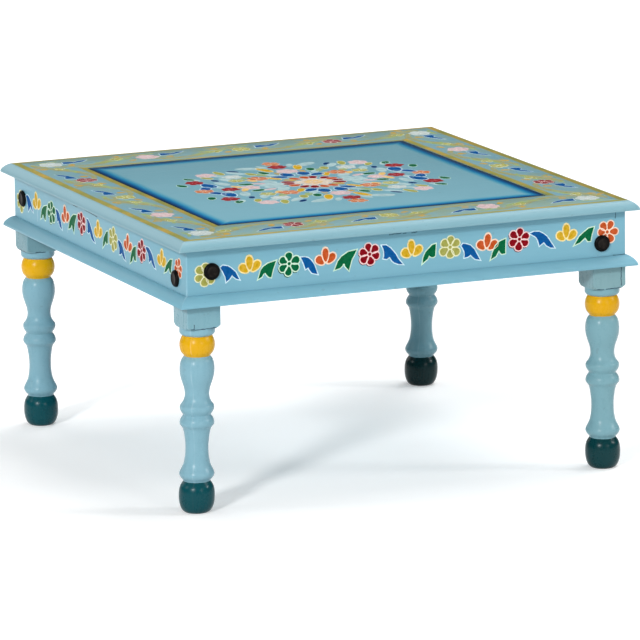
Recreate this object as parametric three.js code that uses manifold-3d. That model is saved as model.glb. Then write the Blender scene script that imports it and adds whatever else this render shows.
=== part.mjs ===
// Bajot low table: a square painted low table with a framed top and four turned, bolted legs.
// Millimetres, +Z up. The origin is on the floor at the middle of the table, and the front faces -Y.

import * as THREE from 'three';
import { mergeVertices } from 'three/addons/utils/BufferGeometryUtils.js';
import Module from 'manifold-3d';

const wasm = await Module();
wasm.setup();

// Overall sizes
const TABLE_SIZE = 700;
const TABLE_HEIGHT = 388;
const FIT_GAP = 0.3; // glue line or running clearance between fitted pieces
const CUT_OVERRUN = 5; // how far a cutting shape passes the stock that it cuts

// Moulded frame of the top
const FRAME_THICKNESS = 13.5;
const FRAME_WIDTH = 100;
const EDGE_RUN = 13; // width of the rounded edge, seen from above
const EDGE_LIP = 2; // upright strip left under the rounded edge
const LEDGE_WIDTH = 10; // shelf inside the frame that carries the panel

// Panel dropped into the frame
const PANEL_THICKNESS = 6;
const PANEL_RECESS = 1;

// Apron boards under the frame
const TOP_OVERHANG = 15.5;
const APRON_THICKNESS = 15;
const APRON_HEIGHT = 79.5;

// Strip of moulding round the foot of the apron
const MOULDING_HEIGHT = 15;
const MOULDING_RUN = 13.5;
const MOULDING_LIP = 2;

// Rounding of both moulded edges
const EDGE_EXPONENT = 1.45;
const EDGE_STEPS = 7;

// Turned legs
const LEG_SQUARE = 50;
const BLOCK_DROP = 30; // square block left below the apron, above the turning
const LEG_SIDES = 20;
const LEG_LEAN = 4.9; // how far the feet of two hand-fitted legs stand out of true
const LEAN_ACROSS_SHARE = -0.92; // the lean's split between X and Y
const LEAN_BACK_SHARE = 0.39;

// Bolts that hold the legs, two to a leg
const BOLT_EDGE = 12.5; // from the leg's inner side to the bolt's centre
const LOW_BOLT_RISE = 19; // from the top of the moulding strip to the low bolt
const BOLT_STAGGER = 13; // from the low bolt up to the high one that crosses it
const SHANK_DIAMETER = 8;
const HEAD_DIAMETER = 17;
const HEAD_THICKNESS = 2;
const BOLT_TAIL = 3; // thread that stands past the nut
const WASHER_DIAMETER = 18;
const WASHER_THICKNESS = 1.5;
const NUT_ACROSS_FLATS = 13;
const NUT_THICKNESS = 6.5;
const NUT_SIDES = 6;

// Caps pushed over the bolt heads
const CAP_DIAMETER = 23;
const CAP_HEIGHT = 4.8;
const CAP_RIM = 1.4; // upright edge next to the board
const CAP_FLAT_DIAMETER = 14;
const ROUND_SIDES = 16; // caps and washers
const SHANK_SIDES = 12; // bolt shanks and the holes for them
const FLANK_STEPS = 3;

// Sizes worked out from the ones above
const frameHalf = TABLE_SIZE / 2;
const frameBottom = TABLE_HEIGHT - FRAME_THICKNESS;
const frameInner = frameHalf - FRAME_WIDTH;
const panelTop = TABLE_HEIGHT - PANEL_RECESS;
const panelBottom = panelTop - PANEL_THICKNESS;
const apronHalf = frameHalf - TOP_OVERHANG;
const apronBottom = frameBottom - APRON_HEIGHT;
const legCentre = apronHalf - LEG_SQUARE / 2;
const shoulderHeight = apronBottom - BLOCK_DROP;
const boltLow = apronBottom + MOULDING_HEIGHT + LOW_BOLT_RISE;
const boltHigh = boltLow + BOLT_STAGGER;
const boltInset = LEG_SQUARE - BOLT_EDGE;
const holeRadius = SHANK_DIAMETER / 2 + FIT_GAP;
const quarterTurn = Math.PI / 2;
const fullTurn = 4 * quarterTurn;

// Finishes
const paleBlue = new THREE.MeshStandardMaterial({ color: 0x86b6c9, roughness: 0.42, metalness: 0 });
const topBlue = new THREE.MeshStandardMaterial({ color: 0x7fb0bd, roughness: 0.4, metalness: 0 });
const blackPlastic = new THREE.MeshStandardMaterial({ color: 0x17130f, roughness: 0.35, metalness: 0 });
const zincSteel = new THREE.MeshStandardMaterial({ color: 0xa9adb0, roughness: 0.38, metalness: 0.9 });

// Closed geometry to a solid that can be cut. Poles and seams are merged and empty faces dropped.
function solidOf(geometry) {
  const bare = geometry.clone();
  bare.deleteAttribute('normal');
  bare.deleteAttribute('uv');
  const merged = mergeVertices(bare);
  const index = merged.getIndex().array;
  const faces = [];
  for (let i = 0; i < index.length; i += 3) {
    const [a, b, c] = [index[i], index[i + 1], index[i + 2]];
    if (a !== b && b !== c && c !== a) {
      faces.push(a, b, c);
    }
  }
  const vertProperties = new Float32Array(merged.getAttribute('position').array);
  const make = (list) =>
    new wasm.Manifold(new wasm.Mesh({ numProp: 3, vertProperties, triVerts: new Uint32Array(list) }));
  const solid = make(faces);
  return solid.volume() < 0 ? make(faces.reverse()) : solid;
}

// A solid back to flat-shaded geometry.
function geometryOf(solid) {
  const mesh = solid.getMesh();
  const geometry = new THREE.BufferGeometry();
  geometry.setAttribute('position', new THREE.BufferAttribute(new Float32Array(mesh.vertProperties), 3));
  geometry.setIndex(new THREE.BufferAttribute(new Uint32Array(mesh.triVerts), 1));
  return geometry;
}

function named(name, solid, material) {
  const mesh = new THREE.Mesh(geometryOf(solid), material);
  mesh.name = name;
  return mesh;
}

// A block between two corners.
function block(low, high) {
  const geometry = new THREE.BoxGeometry(high[0] - low[0], high[1] - low[1], high[2] - low[2]);
  geometry.translate((low[0] + high[0]) / 2, (low[1] + high[1]) / 2, (low[2] + high[2]) / 2);
  return solidOf(geometry);
}

// A turned solid about +Z from [radius, height] points that start and end on the axis.
function turned(points, sides) {
  const outline = points.map(([radius, height]) => new THREE.Vector2(radius, height));
  const geometry = new THREE.LatheGeometry(outline, sides);
  geometry.rotateX(quarterTurn);
  return solidOf(geometry);
}

// A straight hole through a board that faces -Y, at the place of a bolt.
function boltHole(x, z, near, far) {
  const geometry = new THREE.CylinderGeometry(holeRadius, holeRadius, far - near, SHANK_SIDES);
  geometry.translate(x, (near + far) / 2, z);
  return solidOf(geometry);
}

// Rounded edge from the flat above to the lip below: outward run and drop, each from 0 to 1.
function roundedEdgeShares() {
  const shares = [];
  for (let i = 0; i <= EDGE_STEPS; i++) {
    const angle = quarterTurn * (1 - i / EDGE_STEPS);
    const out = Math.cos(angle) ** (2 / EDGE_EXPONENT);
    const drop = 1 - Math.sin(angle) ** (2 / EDGE_EXPONENT);
    shares.push([out, drop]);
  }
  return shares;
}

// A strip along the front of the table with mitred ends. The section is [outward, height].
function mitredStrip(section, reach) {
  const shape = new THREE.Shape(section.map(([out, height]) => new THREE.Vector2(out, height)));
  const strip = new THREE.ExtrudeGeometry(shape, { depth: 2 * reach, bevelEnabled: false });
  const basis = new THREE.Matrix4().makeBasis(
    new THREE.Vector3(0, -1, 0),
    new THREE.Vector3(0, 0, 1),
    new THREE.Vector3(-1, 0, 0),
  );
  strip.applyMatrix4(basis);
  strip.translate(reach, 0, 0);
  const mitreGap = FIT_GAP / Math.SQRT2;
  const wedgeReach = reach + CUT_OVERRUN;
  const wedge = new THREE.ExtrudeGeometry(
    new THREE.Shape([
      new THREE.Vector2(0, -mitreGap),
      new THREE.Vector2(-wedgeReach, -wedgeReach - mitreGap),
      new THREE.Vector2(wedgeReach, -wedgeReach - mitreGap),
    ]),
    { depth: TABLE_HEIGHT + CUT_OVERRUN, bevelEnabled: false },
  );
  return solidOf(strip).intersect(solidOf(wedge));
}

// One board of the top's frame, with its moulded outer edge and the rebate for the panel.
function frameBoard() {
  const edgeDrop = FRAME_THICKNESS - EDGE_LIP;
  const edge = roundedEdgeShares().map(([out, drop]) => [
    frameHalf - EDGE_RUN + out * EDGE_RUN,
    TABLE_HEIGHT - drop * edgeDrop,
  ]);
  const section = [
    [frameInner, TABLE_HEIGHT],
    [frameInner, panelBottom],
    [frameInner - LEDGE_WIDTH, panelBottom],
    [frameInner - LEDGE_WIDTH, frameBottom],
    [frameHalf, frameBottom],
    ...edge.reverse(),
  ];
  return mitredStrip(section, frameHalf);
}

// One strip of the moulding round the foot of the apron.
function baseMoulding() {
  const inner = apronHalf + FIT_GAP;
  const run = MOULDING_RUN - FIT_GAP;
  const edgeDrop = MOULDING_HEIGHT - MOULDING_LIP;
  const top = apronBottom + MOULDING_HEIGHT;
  const edge = roundedEdgeShares().map(([out, drop]) => [inner + out * run, top - drop * edgeDrop]);
  const section = [[inner, apronBottom], [inner + run, apronBottom], ...edge.reverse()];
  return mitredStrip(section, inner + run);
}

// One apron board, facing -Y, bored for its two leg bolts. The left bolt is the higher one.
function apronBoard(length) {
  let board = block(
    [-length / 2, -apronHalf, apronBottom],
    [length / 2, -apronHalf + APRON_THICKNESS, frameBottom],
  );
  const near = -apronHalf - CUT_OVERRUN;
  const far = -apronHalf + APRON_THICKNESS + CUT_OVERRUN;
  const boltX = apronHalf - boltInset;
  board = board.subtract(boltHole(-boltX, boltHigh, near, far));
  return board.subtract(boltHole(boltX, boltLow, near, far));
}

// The turning from the floor up. Heights are shares of the shoulder height, radii of half the square.
const turningShares = [
  { height: 0, radius: 0.64, curve: 'straight' },
  { height: 0.007, radius: 0.77, curve: 'straight' },
  { height: 0.021, radius: 0.87, curve: 'straight' },
  { height: 0.045, radius: 0.95, curve: 'straight' },
  { height: 0.094, radius: 0.998, curve: 'intoUpright' },
  { height: 0.166, radius: 0.704, curve: 'fromUpright' },
  { height: 0.192, radius: 0.9, curve: 'straight' },
  { height: 0.2075, radius: 0.975, curve: 'intoUpright' },
  { height: 0.2245, radius: 0.916, curve: 'fromUpright' },
  { height: 0.253, radius: 0.76, curve: 'straight' },
  { height: 0.343, radius: 0.648, curve: 'intoUpright' },
  { height: 0.451, radius: 0.768, curve: 'fromUpright' },
  { height: 0.4653, radius: 0.92, curve: 'straight' },
  { height: 0.479, radius: 0.99, curve: 'intoUpright' },
  { height: 0.519, radius: 0.716, curve: 'fromUpright' },
  { height: 0.5457, radius: 0.9, curve: 'straight' },
  { height: 0.559, radius: 0.985, curve: 'intoUpright' },
  { height: 0.57, radius: 0.94, curve: 'fromUpright' },
  { height: 0.59, radius: 0.8, curve: 'straight' },
  { height: 0.632, radius: 0.67, curve: 'intoUpright' },
  { height: 0.7585, radius: 0.97, curve: 'ogee' },
  { height: 0.83, radius: 0.704, curve: 'fromUpright' },
  { height: 0.8887, radius: 0.985, curve: 'intoUpright' },
  { height: 0.943, radius: 0.752, curve: 'fromUpright' },
  { height: 0.962, radius: 0.996, curve: 'intoUpright' },
  { height: 0.9974, radius: 0.996, curve: 'straight' },
  { height: 1.0038, radius: 1.22, curve: 'straight' },
  { height: 1.0226, radius: 1.44, curve: 'intoUpright' },
];

// How each curve travels from one stop to the next: [height, radius] at a turn of the circle.
const curves = {
  intoUpright: (a) => [1 - Math.cos(a), Math.sin(a)],
  fromUpright: (a) => [Math.sin(a), 1 - Math.cos(a)],
  ogee: (a) => [a / quarterTurn, (1 - Math.cos(2 * a)) / 2],
};
const CURVE_STEP_SHARE = 0.04; // share of the shoulder height that one step of a curve may cover
const MIN_CURVE_STEPS = 2;

// The leg's outline as [radius, height] points, from the axis at the floor to the axis at the top.
function legOutline() {
  const halfSquare = LEG_SQUARE / 2;
  const points = [[0, 0]];
  let last = null;
  for (const stop of turningShares) {
    const here = { height: stop.height * shoulderHeight, radius: stop.radius * halfSquare };
    if (stop.curve !== 'straight') {
      const span = here.height - last.height;
      const steps = Math.max(MIN_CURVE_STEPS, Math.ceil(span / (CURVE_STEP_SHARE * shoulderHeight)));
      for (let i = 1; i < steps; i++) {
        const [up, out] = curves[stop.curve]((quarterTurn * i) / steps);
        points.push([last.radius + out * (here.radius - last.radius), last.height + up * span]);
      }
    }
    points.push([here.radius, here.height]);
    last = here;
  }
  points.push([last.radius, frameBottom], [0, frameBottom]);
  return points;
}

// The leg of the front left corner, standing on its own axis: a square blank, turned below its
// block, rebated above it to stand inside the apron, and bored for two bolts that cross.
function legSolid() {
  const half = LEG_SQUARE / 2;
  const blank = block([-half, -half, 0], [half, half, frameBottom]);
  const rebate = APRON_THICKNESS + FIT_GAP;
  const outside = -half - CUT_OVERRUN;
  const past = half + CUT_OVERRUN;
  const above = frameBottom + CUT_OVERRUN;
  const frontRebate = block([outside, outside, apronBottom], [past, -half + rebate, above]);
  const sideRebate = block([outside, outside, apronBottom], [-half + rebate, past, above]);
  const boltOffset = boltInset - half;
  const frontHole = boltHole(boltOffset, boltHigh, outside, past);
  const sideHole = boltHole(-boltOffset, boltLow, outside, past).rotate([0, 0, -90]);
  return blank
    .intersect(turned(legOutline(), LEG_SIDES))
    .subtract(frontRebate)
    .subtract(sideRebate)
    .subtract(frontHole)
    .subtract(sideHole);
}

// Corners of a regular polygon round the origin.
function ringPoints(radius, count) {
  const points = [];
  for (let i = 0; i < count; i++) {
    const angle = (fullTurn * i) / count;
    points.push(new THREE.Vector2(radius * Math.cos(angle), radius * Math.sin(angle)));
  }
  return points;
}

// Fasteners lie along +Z, with z = 0 on the apron's outer face and the nut end pointing up.
function boltSolid() {
  const length = LEG_SQUARE + FIT_GAP + WASHER_THICKNESS + FIT_GAP + NUT_THICKNESS + BOLT_TAIL;
  const shank = SHANK_DIAMETER / 2;
  const head = HEAD_DIAMETER / 2;
  return turned(
    [
      [0, -FIT_GAP - HEAD_THICKNESS],
      [head, -FIT_GAP - HEAD_THICKNESS],
      [head, -FIT_GAP],
      [shank, -FIT_GAP],
      [shank, length],
      [0, length],
    ],
    SHANK_SIDES,
  );
}

function washerSolid() {
  const ring = new THREE.Shape(ringPoints(WASHER_DIAMETER / 2, ROUND_SIDES));
  ring.holes.push(new THREE.Path(ringPoints(holeRadius, SHANK_SIDES)));
  const geometry = new THREE.ExtrudeGeometry(ring, { depth: WASHER_THICKNESS, bevelEnabled: false });
  geometry.translate(0, 0, LEG_SQUARE + FIT_GAP);
  return solidOf(geometry);
}

function nutSolid() {
  const hexagon = new THREE.Shape(ringPoints(NUT_ACROSS_FLATS / Math.sqrt(3), NUT_SIDES));
  hexagon.holes.push(new THREE.Path(ringPoints(holeRadius, SHANK_SIDES)));
  const geometry = new THREE.ExtrudeGeometry(hexagon, { depth: NUT_THICKNESS, bevelEnabled: false });
  geometry.translate(0, 0, LEG_SQUARE + FIT_GAP + WASHER_THICKNESS + FIT_GAP);
  return solidOf(geometry);
}

// A shallow black cap, hollow under its crown to sit over the bolt's head.
function capSolid() {
  const rim = CAP_DIAMETER / 2;
  const flat = CAP_FLAT_DIAMETER / 2;
  const pocket = HEAD_DIAMETER / 2 + FIT_GAP;
  const pocketTop = FIT_GAP + HEAD_THICKNESS + FIT_GAP;
  const rimTop = FIT_GAP + CAP_RIM;
  const flank = [];
  for (let i = 0; i <= FLANK_STEPS; i++) {
    const angle = (quarterTurn * i) / FLANK_STEPS;
    flank.push([
      flat + (rim - flat) * Math.cos(angle),
      -rimTop - (CAP_HEIGHT - rimTop) * Math.sin(angle),
    ]);
  }
  return turned(
    [[0, -pocketTop], [pocket, -pocketTop], [pocket, -FIT_GAP], [rim, -FIT_GAP], ...flank, [0, -CAP_HEIGHT]],
    ROUND_SIDES,
  );
}

// Leans the turning of a leg so that its foot stands off by a toe, [x, y] on the table.
function lean(geometry, toe, turn) {
  const offset = new THREE.Vector3(toe[0], toe[1], 0).applyAxisAngle(
    new THREE.Vector3(0, 0, 1),
    -turn * quarterTurn,
  );
  const positions = geometry.getAttribute('position');
  for (let i = 0; i < positions.count; i++) {
    const share = Math.max(0, 1 - positions.getZ(i) / shoulderHeight);
    positions.setX(i, positions.getX(i) + offset.x * share);
    positions.setY(i, positions.getY(i) + offset.y * share);
  }
}

const table = new THREE.Group();

// The top: four mitred boards round a dropped-in panel
const sides = ['front', 'right', 'back', 'left'];
const frameSolid = frameBoard();
const mouldingSolid = baseMoulding();
sides.forEach((side, turn) => {
  const place = new THREE.Group();
  place.rotation.z = turn * quarterTurn;
  place.add(named(`top_frame_${side}`, frameSolid, paleBlue));
  place.add(named(`base_moulding_${side}`, mouldingSolid, paleBlue));
  table.add(place);
});

const panelHalf = frameInner - FIT_GAP;
const panelSolid = block([-panelHalf, -panelHalf, panelBottom], [panelHalf, panelHalf, panelTop]);
table.add(named('top_panel', panelSolid, topBlue));

// The apron: the side boards run the full depth and the front and back boards fit between them
const fullLength = 2 * apronHalf;
const fittedLength = fullLength - 2 * (APRON_THICKNESS + FIT_GAP);
sides.forEach((side, turn) => {
  const runsThrough = side === 'left' || side === 'right';
  const place = new THREE.Group();
  place.rotation.z = turn * quarterTurn;
  place.add(named(`apron_${side}`, apronBoard(runsThrough ? fullLength : fittedLength), paleBlue));
  table.add(place);
});

// The corners: a leg with a high bolt through one apron board and a low bolt through the other
const corners = ['front_left', 'front_right', 'back_right', 'back_left'];
const outOfTrue = [LEG_LEAN * LEAN_ACROSS_SHARE, LEG_LEAN * LEAN_BACK_SHARE];
const leans = {
  front_left: outOfTrue,
  front_right: [0, 0],
  back_right: outOfTrue,
  back_left: [0, 0],
};
const leg = legSolid();
const fasteners = [
  { kind: 'leg_bolt', solid: boltSolid(), material: zincSteel },
  { kind: 'bolt_washer', solid: washerSolid(), material: zincSteel },
  { kind: 'bolt_nut', solid: nutSolid(), material: zincSteel },
  { kind: 'bolt_cap', solid: capSolid(), material: blackPlastic },
];
corners.forEach((corner, turn) => {
  const place = new THREE.Group();
  place.rotation.z = turn * quarterTurn;
  table.add(place);

  const legMesh = named(`leg_${corner}`, leg, paleBlue);
  legMesh.position.set(-legCentre, -legCentre, 0);
  lean(legMesh.geometry, leans[corner], turn);
  place.add(legMesh);

  const inset = apronHalf - boltInset;
  const highPlace = new THREE.Group();
  highPlace.position.set(-inset, -apronHalf, boltHigh);
  highPlace.rotation.x = -quarterTurn;
  place.add(highPlace);

  const lowPlace = new THREE.Group();
  lowPlace.position.set(-apronHalf, -inset, boltLow);
  lowPlace.rotation.y = quarterTurn;
  place.add(lowPlace);

  for (const { kind, solid, material } of fasteners) {
    highPlace.add(named(`${kind}_${corner}_high`, solid, material));
    lowPlace.add(named(`${kind}_${corner}_low`, solid, material));
  }
});

export default table;
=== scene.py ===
import math
import random

import bpy
from mathutils import Matrix, Vector


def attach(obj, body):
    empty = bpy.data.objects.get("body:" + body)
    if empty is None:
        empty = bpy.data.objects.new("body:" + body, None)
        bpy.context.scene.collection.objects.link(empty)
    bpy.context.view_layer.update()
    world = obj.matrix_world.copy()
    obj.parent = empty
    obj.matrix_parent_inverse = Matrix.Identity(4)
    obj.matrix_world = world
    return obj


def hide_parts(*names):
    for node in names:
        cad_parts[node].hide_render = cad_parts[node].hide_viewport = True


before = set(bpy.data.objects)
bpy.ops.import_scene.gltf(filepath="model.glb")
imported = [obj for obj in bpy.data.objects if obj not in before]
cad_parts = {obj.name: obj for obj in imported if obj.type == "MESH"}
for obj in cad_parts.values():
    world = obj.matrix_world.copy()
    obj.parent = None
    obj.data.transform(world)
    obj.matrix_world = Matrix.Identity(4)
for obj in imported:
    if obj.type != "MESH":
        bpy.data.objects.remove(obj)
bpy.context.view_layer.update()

MM = 0.001


# Camera: a long lens from the front left, a little above the table, tilted by under a degree.
# It looks along the direction that the table was photographed from, from about nine metres.
CAMERA_YAW = math.radians(23.163)
CAMERA_PITCH = math.radians(11.680)
CAMERA_ROLL = math.radians(-0.730)
CAMERA_DISTANCE = 9.073
CAMERA_ACROSS = 4.15 * MM
CAMERA_UP = 180.53 * MM
CAMERA_LENS = 352.1

view_dir = Vector((
    math.sin(CAMERA_YAW) * math.cos(CAMERA_PITCH),
    math.cos(CAMERA_YAW) * math.cos(CAMERA_PITCH),
    -math.sin(CAMERA_PITCH),
))
level_right = Vector((math.cos(CAMERA_YAW), -math.sin(CAMERA_YAW), 0))
level_up = level_right.cross(view_dir)
camera_right = math.cos(CAMERA_ROLL) * level_right + math.sin(CAMERA_ROLL) * level_up
camera_up = math.cos(CAMERA_ROLL) * level_up - math.sin(CAMERA_ROLL) * level_right
bpy.ops.object.camera_add()
camera = bpy.context.object
camera.name = "photo_camera"
camera_spot = CAMERA_ACROSS * camera_right + CAMERA_UP * camera_up - CAMERA_DISTANCE * view_dir
camera_axes = Matrix((camera_right, camera_up, -view_dir)).transposed()
camera.matrix_world = Matrix.Translation(camera_spot) @ camera_axes.to_4x4()
camera.data.lens = CAMERA_LENS
camera.data.sensor_width = 36
camera.data.clip_end = 200
camera.data.dof.use_dof = False
bpy.context.scene.camera = camera
bpy.context.scene.view_settings.view_transform = "Standard"


# Top frame: four boards of painted wood, mitred at the corners, with a moulded outer edge and a
# shelf inside for the panel. They are glued and pinned down on the apron boards.
TABLE_TOP = 388 * MM
FRAME_HALF = 350 * MM
FRAME_INNER = 252.5 * MM
FRAME_BOTTOM = 374.5 * MM
LEDGE_TOP = 381 * MM
LEDGE_WIDTH = 10 * MM
EDGE_RUN = 13 * MM
EDGE_DROP = 11.5 * MM
EDGE_PROFILE = 0.385
EDGE_SEGMENTS = 12
MITRE_GAP = 0.05 * MM
SOFT_EDGE = 0.35 * MM
TOUCH = 0.1 * MM
SIDES = ("front", "right", "back", "left")
# The ochre lines: the outer edge of one, the inner edge of the other, and both widths at the sides.
OUTER_LINE = 337.5 * MM
INNER_LINE = 251.5 * MM
OUTER_LINE_WIDTH = 10.8 * MM
INNER_LINE_WIDTH = 10.5 * MM
# The haze between them, and how far below the top face both still run over the edge.
HAZE_INNER = 240 * MM
HAZE_OUTER = 337 * MM
OVER_EDGE = 0.7 * MM


def srgb(red, green, blue):
    """A colour given as on a paint chart, from 0 to 255, as linear values."""
    linear = [((c / 255 + 0.055) / 1.055) ** 2.4 for c in (red, green, blue)]
    return (*linear, 1)


def only(*pieces):
    """Selects these objects and nothing else, in object mode."""
    if bpy.context.object and bpy.context.object.mode != "OBJECT":
        bpy.ops.object.mode_set(mode="OBJECT")
    bpy.ops.object.select_all(action="DESELECT")
    for piece in pieces:
        piece.select_set(True)
    if pieces:
        bpy.context.view_layer.objects.active = pieces[0]


def plank(name, low, high):
    """A square block of wood between two corners, with its place in its mesh."""
    only()
    size = [b - a for a, b in zip(low, high)]
    middle = [(a + b) / 2 for a, b in zip(low, high)]
    bpy.ops.mesh.primitive_cube_add(size=1, location=middle, scale=size)
    bpy.ops.object.transform_apply(location=True, rotation=True, scale=True)
    bpy.context.object.name = name
    return bpy.context.object


def edit_all(piece):
    """Goes to edit mode on one piece, with all of it selected."""
    only(piece)
    bpy.ops.object.mode_set(mode="EDIT")
    bpy.ops.mesh.select_all(action="SELECT")


def pick(piece, kind, wanted):
    """Goes to edit mode with only the faces or edges selected whose points all pass a test."""
    edit_all(piece)
    bpy.ops.mesh.select_mode(type=kind)
    bpy.ops.mesh.select_all(action="DESELECT")
    bpy.ops.object.mode_set(mode="OBJECT")
    spots = [vertex.co for vertex in piece.data.vertices]
    for part in piece.data.polygons if kind == "FACE" else piece.data.edges:
        part.select = all(wanted(spots[i]) for i in part.vertices)
    bpy.ops.object.mode_set(mode="EDIT")


def cut_mitres(board):
    """Saws both ends of a board along the front at 45 degrees, and closes the cuts."""
    for way in (-1, 1):
        edit_all(board)
        bpy.ops.mesh.bisect(
            plane_co=(0, -MITRE_GAP, 0), plane_no=(way, 1, 0), use_fill=True, clear_outer=True
        )
        bpy.ops.object.mode_set(mode="OBJECT")


def smooth(piece, angle=35):
    """Shades a piece smooth, apart from edges that turn by more than an angle in degrees."""
    only(piece)
    bpy.ops.object.shade_smooth_by_angle(angle=math.radians(angle))


def ease_edges(piece, width, segments=2):
    """Breaks the sharp edges of a piece, as sanding and paint do, and shades it smooth."""
    only(piece)
    bevel = piece.modifiers.new("eased", "BEVEL")
    bevel.width = width
    bevel.segments = segments
    bevel.limit_method = "ANGLE"
    bevel.angle_limit = math.radians(35)
    bpy.ops.object.modifier_apply(modifier=bevel.name)
    smooth(piece)


def own_copy(piece, name, place):
    """A copy with a mesh of its own, which a matrix puts in its place."""
    copy = piece.copy()
    copy.data = piece.data.copy()
    copy.name = name
    bpy.context.scene.collection.objects.link(copy)
    copy.data.transform(place)
    return copy


def quarter_turn(turns):
    return Matrix.Rotation(turns * math.pi / 2, 4, "Z")


def all_round(front_piece):
    """A piece of the front and its copies on the other sides of the table, by side."""
    pieces = {"front": front_piece}
    for turns, side in enumerate(SIDES[1:], 1):
        name = front_piece.name.replace("front", side)
        pieces[side] = own_copy(front_piece, name, quarter_turn(turns))
    return pieces


def settle(piece, paints, slot, *nodes):
    """Gives a finished piece its finishes and its body, and hides the nodes that it stands for."""
    for paint in paints:
        piece.data.materials.append(paint)
    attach(piece, "root")
    if nodes:
        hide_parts(*nodes)


def moulded_board(name, low, high, run, drop):
    """A board along the front with a rounded upper outer edge and mitred ends."""
    squeeze = drop / run
    blank_low = (low[0], low[1], high[2] - (high[2] - low[2]) / squeeze)
    board = plank(name, blank_low, high)
    pick(board, "EDGE", lambda spot: spot.y < low[1] + TOUCH and spot.z > high[2] - TOUCH)
    bpy.ops.mesh.bevel(offset=run, segments=EDGE_SEGMENTS, profile=EDGE_PROFILE, affect="EDGES")
    bpy.ops.mesh.select_all(action="SELECT")
    bpy.ops.transform.resize(value=(1, 1, squeeze), center_override=(0, 0, high[2]))
    cut_mitres(board)
    return board


def feed(tree, node, sockets):
    """Sets a node's sockets to values, or joins them where they are given a socket."""
    for key, value in sockets.items():
        if isinstance(value, bpy.types.NodeSocket):
            tree.links.new(value, node.inputs[key])
        else:
            node.inputs[key].default_value = value


def shader(tree, kind, sockets=None, **settings):
    """Adds a shader node with these settings and sockets."""
    node = tree.nodes.new("ShaderNode" + kind)
    for key, value in settings.items():
        setattr(node, key, value)
    feed(tree, node, sockets or {})
    return node


def reckon(tree, operation, first, second=0.0, third=0.0, clamp=False):
    sockets = {0: first, 1: second, 2: third}
    return shader(tree, "Math", sockets, operation=operation, use_clamp=clamp).outputs[0]


def blend_colours(tree, share, first, second, strength=1.0):
    """The first colour, going over to the second by a share, and by no more than a strength."""
    if strength < 1:
        share = reckon(tree, "MULTIPLY", share, strength)
    return shader(tree, "Mix", {0: share, 6: first, 7: second}, data_type="RGBA").outputs[2]


def toned(tree, colour, saturation, value):
    """A colour made duller or stronger, and darker or lighter."""
    sockets = {"Saturation": saturation, "Value": value, "Color": colour}
    return shader(tree, "HueSaturation", sockets).outputs[0]


def ramp(tree, share, stops):
    """A colour ramp from (place, colour) stops."""
    node = shader(tree, "ValToRGB", {"Fac": share})
    points = node.color_ramp.elements
    while len(points) < len(stops):
        points.new(1)
    for point, (place, colour) in zip(points, stops):
        point.position = place
        point.color = colour
    return node.outputs["Color"]


def step_between(tree, value, start, end):
    """Rises from 0 to 1 as a value passes from start to end."""
    return shader(tree, "MapRange", {0: value, 1: start, 2: end}, clamp=True).outputs[0]


def object_spot(tree):
    return shader(tree, "TexCoord").outputs["Object"]


def noise(tree, scale, detail, roughness=0.5, spot=None):
    """Soft patches from 0 to 1, so many to the metre."""
    where = object_spot(tree) if spot is None else spot
    sockets = {"Vector": where, "Scale": scale, "Detail": detail, "Roughness": roughness}
    return shader(tree, "TexNoise", sockets).outputs["Fac"]


def off_middle(tree):
    """How far a point lies from the middle of the table along X and along Y, and its height."""
    parts = shader(tree, "SeparateXYZ", {0: object_spot(tree)}).outputs
    return reckon(tree, "ABSOLUTE", parts[0]), reckon(tree, "ABSOLUTE", parts[1]), parts[2]


def place_on_table(tree):
    """How far out a point lies, whether on the front or the back of the table, and its height."""
    far_x, far_y, height = off_middle(tree)
    out = reckon(tree, "MAXIMUM", far_x, far_y)
    return out, reckon(tree, "GREATER_THAN", far_y, far_x), height


def new_group(name, inputs, outputs):
    """A shader node group with named sockets: inputs as (name, kind, value), outputs as (name, kind)."""
    group = bpy.data.node_groups.new(name, "ShaderNodeTree")
    for label, kind, value in inputs:
        socket = group.interface.new_socket(label, in_out="INPUT", socket_type="NodeSocket" + kind)
        socket.default_value = value
    for label, kind in outputs:
        group.interface.new_socket(label, in_out="OUTPUT", socket_type="NodeSocket" + kind)
    return group, group.nodes.new("NodeGroupInput").outputs, group.nodes.new("NodeGroupOutput")


def enamel_group():
    """Brushed household enamel: soft mottling, fine brush lines, a few specks and flow marks."""
    group, given, made = new_group(
        "brushed_enamel",
        [
            ("Colour", "Color", (0.2, 0.4, 0.5, 1)), ("Across Brush", "Vector", (0, 0, 0)),
            ("Mottling", "Float", 0.5), ("Gloss", "Float", 0.3),
        ],
        [("Colour", "Color"), ("Roughness", "Float"), ("Height", "Float")],
    )
    patch = step_between(group, noise(group, 9.0, 5.0, 0.55), 0.35, 0.68)
    lines = noise(group, 1.0, 4.0, spot=given["Across Brush"])
    stroke = step_between(group, lines, 0.3, 0.72)
    grain = noise(group, 420.0, 2.0)
    speck = step_between(group, noise(group, 130.0, 1.0, 0.3), 0.765, 0.79)

    plain = given["Colour"]
    depth = reckon(group, "MULTIPLY", patch, given["Mottling"])
    colour = blend_colours(group, depth, plain, toned(group, plain, 1.06, 0.9))
    colour = blend_colours(group, stroke, colour, toned(group, plain, 0.93, 1.07), 0.22)
    colour = blend_colours(group, speck, colour, toned(group, plain, 0.8, 0.62), 0.28)
    rough = reckon(group, "ADD", reckon(group, "MULTIPLY_ADD", grain, 0.08, -0.04), given["Gloss"])
    rough = reckon(group, "MULTIPLY_ADD", stroke, 0.05, rough)
    height = reckon(group, "MULTIPLY_ADD", grain, 0.12, reckon(group, "MULTIPLY", lines, 0.7))
    feed(group, made, {"Colour": colour, "Roughness": rough, "Height": height})
    return group


ENAMEL = enamel_group()


def new_paint(name):
    """An empty material and its node tree."""
    paint = bpy.data.materials.new(name)
    paint.use_nodes = True
    return paint, paint.node_tree


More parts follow.
